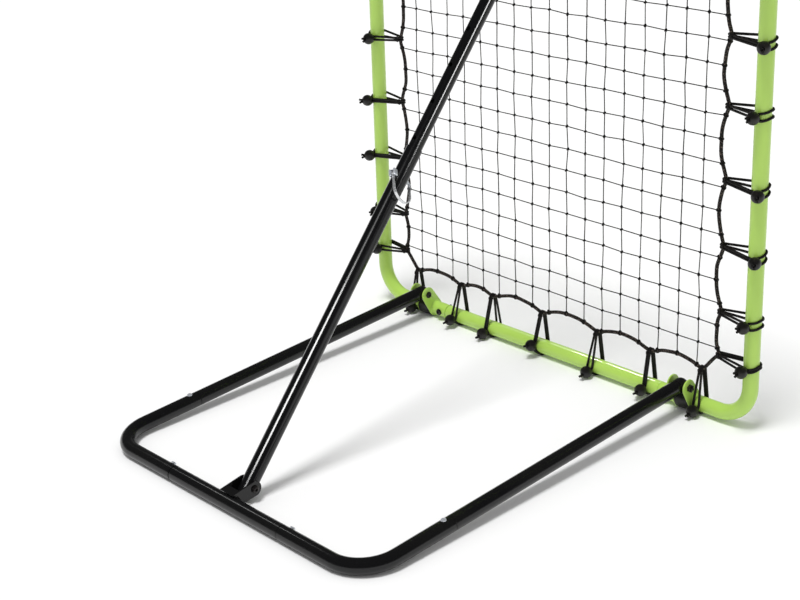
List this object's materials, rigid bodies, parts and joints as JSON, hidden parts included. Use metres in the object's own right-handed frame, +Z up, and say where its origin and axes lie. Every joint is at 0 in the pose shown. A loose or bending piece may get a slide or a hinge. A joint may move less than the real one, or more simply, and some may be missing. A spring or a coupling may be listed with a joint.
{
  "type": "multisport rebounder",
  "caption": "Square tubular frame holding a net on ball ties, hinged on a U-shaped floor base and held at an angle by a telescopic strut with a lock pin.",
  "frame": {"origin": "on the floor, under the middle of the object's box", "axes": "+Z up; -Y is the playing side, where the net faces; X runs across, along the frame's bottom tube, which is parallel to the base's rear tube"},
  "size_m": [1.0156, 0.8734, 1.0123],
  "materials": {
    "green_powder_coat": "satin lime-green powder coat",
    "black_powder_coat": "semi-gloss black powder coat",
    "black_gloss_paint": "gloss black paint",
    "black_plastic": "moulded black plastic",
    "black_zinc": "black zinc-plated steel",
    "zinc_plate": "bright zinc-plated steel",
    "spring_steel": "bright spring steel",
    "black_cord": "black cord with black plastic balls"
  },
  "bodies": {
    "base": {"base_rear_tube": "black_powder_coat", "base_corner_left": "black_powder_coat", "base_corner_right": "black_powder_coat", "base_leg_left": "black_powder_coat", "base_leg_right": "black_powder_coat", "rear_joint_screw_left": "zinc_plate", "rear_joint_screw_right": "zinc_plate", "leg_joint_screw_left": "zinc_plate", "leg_joint_screw_right": "zinc_plate", "leg_cap_left": "black_plastic", "leg_cap_right": "black_plastic", "strut_foot_bracket": "black_powder_coat", "strut_foot_bolt": "black_zinc", "strut_foot_nut": "black_zinc"},
    "net_frame": {"frame_side_left": "green_powder_coat", "frame_side_right": "green_powder_coat", "frame_bottom_tube": "green_powder_coat", "frame_top_tube": "green_powder_coat", "frame_bottom_left_bolt": "black_zinc", "frame_bottom_left_nut": "black_zinc", "frame_bottom_right_bolt": "black_zinc", "frame_bottom_right_nut": "black_zinc", "frame_top_left_bolt": "black_zinc", "frame_top_left_nut": "black_zinc", "frame_top_right_bolt": "black_zinc", "frame_top_right_nut": "black_zinc", "hinge_plate_left_inner": "green_powder_coat", "hinge_plate_left_outer": "green_powder_coat", "hinge_plate_right_inner": "green_powder_coat", "hinge_plate_right_outer": "green_powder_coat", "hinge_left_bolt": "black_zinc", "hinge_left_nut": "black_zinc", "hinge_right_bolt": "black_zinc", "hinge_right_nut": "black_zinc", "foot_sleeve_left": "black_plastic", "foot_sleeve_right": "black_plastic", "top_plate_left": "green_powder_coat", "top_plate_right": "green_powder_coat", "strut_top_bolt": "black_zinc", "strut_top_nut": "black_zinc", "border_rope": "black_cord", "net": "black_cord"},
    "strut_lower": {"strut_lower_tube": "black_gloss_paint"},
    "strut_upper": {"strut_upper_tube": "black_gloss_paint"},
    "lock_pin": {"lock_pin": "zinc_plate", "lock_pin_tip": "zinc_plate", "bail_rivet": "zinc_plate"},
    "lock_pin_bail": {"lock_pin_bail": "spring_steel"}
  },
  "joints": [
    {"name": "frame_tilt", "type": "hinge", "parent": "base", "child": "net_frame", "pos_m": [0, -0.3644, 0.0545], "axis": [-1, 0, 0], "range_deg": [0, 28]},
    {"name": "strut_swing", "type": "hinge", "parent": "base", "child": "strut_lower", "pos_m": [0, 0.3745, 0.0253], "axis": [-1, 0, 0], "range_deg": [0, 17.1]},
    {"name": "strut_slide", "type": "slide", "parent": "strut_lower", "child": "strut_upper", "axis": [0, 0.6488, -0.761], "range_m": [0, 0.294]},
    {"name": "lock_pin_pull", "type": "slide", "parent": "strut_lower", "child": "lock_pin", "axis": [0, 0.761, 0.6488], "range_m": [0, 0.048]},
    {"name": "bail_swing", "type": "hinge", "parent": "lock_pin", "child": "lock_pin_bail", "pos_m": [0, 0.00467, 0.49084], "axis": [0.7986, 0.3904, -0.458], "range_deg": [0, 180]}
  ],
  "couplings": [
    {"joint": "strut_swing", "follows": "frame_tilt", "ratio": 0.60676},
    {"joint": "strut_slide", "follows": "frame_tilt", "m_per_rad": 0.59883},
    {"joint": "bail_swing", "follows": "lock_pin_pull", "rad_per_m": 65.4}
  ]
}
